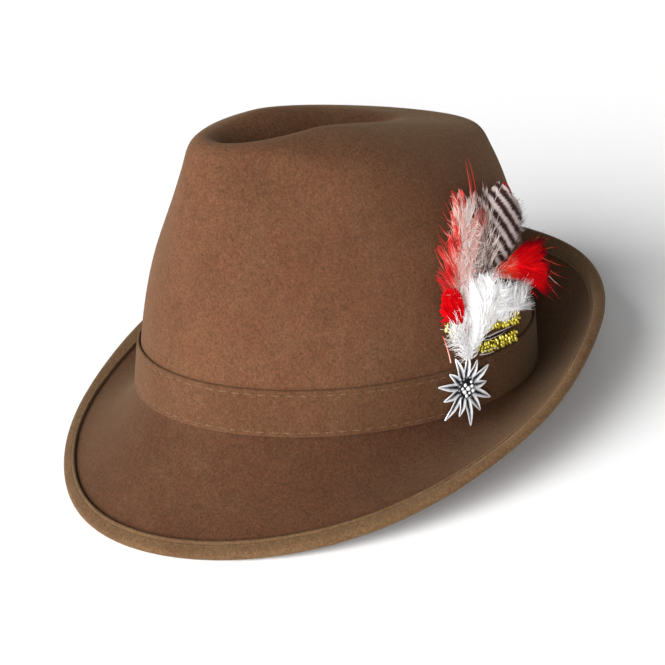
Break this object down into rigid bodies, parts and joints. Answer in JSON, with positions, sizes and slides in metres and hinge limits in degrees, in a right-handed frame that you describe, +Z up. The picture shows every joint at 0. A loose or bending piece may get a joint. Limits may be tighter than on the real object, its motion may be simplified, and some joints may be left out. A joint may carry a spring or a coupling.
{
  "type": "tyrolean hat",
  "caption": "Felt hat with a pinched crown, a sewn band, a brim low in front and turned up behind, a feather plume and an edelweiss pin.",
  "frame": {"origin": "middle of the hat's outline on the surface that it rests on", "axes": "+Z up, the brim's low front towards -Y, the wearer's left side with the plume towards +X"},
  "size_m": [0.2582, 0.2866, 0.1606],
  "materials": {
    "felt": "short-napped brown wool felt",
    "hem_felt": "folded and stitched brown felt, slightly lighter",
    "barred_feather": "feather barred in dark brown and pinkish white",
    "red_feather": "dyed red feather",
    "pink_down": "loose white down with red-dyed tips",
    "white_down": "loose white down",
    "tinsel": "glossy gold foil",
    "pin_metal": "polished silver colour with dark patina in the hollows"
  },
  "bodies": {
    "root": {"crown": "felt", "brim": "felt", "band": "felt", "brim_hem": "hem_felt", "barred_feather": "barred_feather", "red_feather": "red_feather", "pink_plume": "pink_down", "white_plume": "white_down", "red_tip": "red_feather", "tinsel_loop": "tinsel", "tinsel_end": "tinsel", "edelweiss_pin": "pin_metal"}
  },
  "joints": []
}
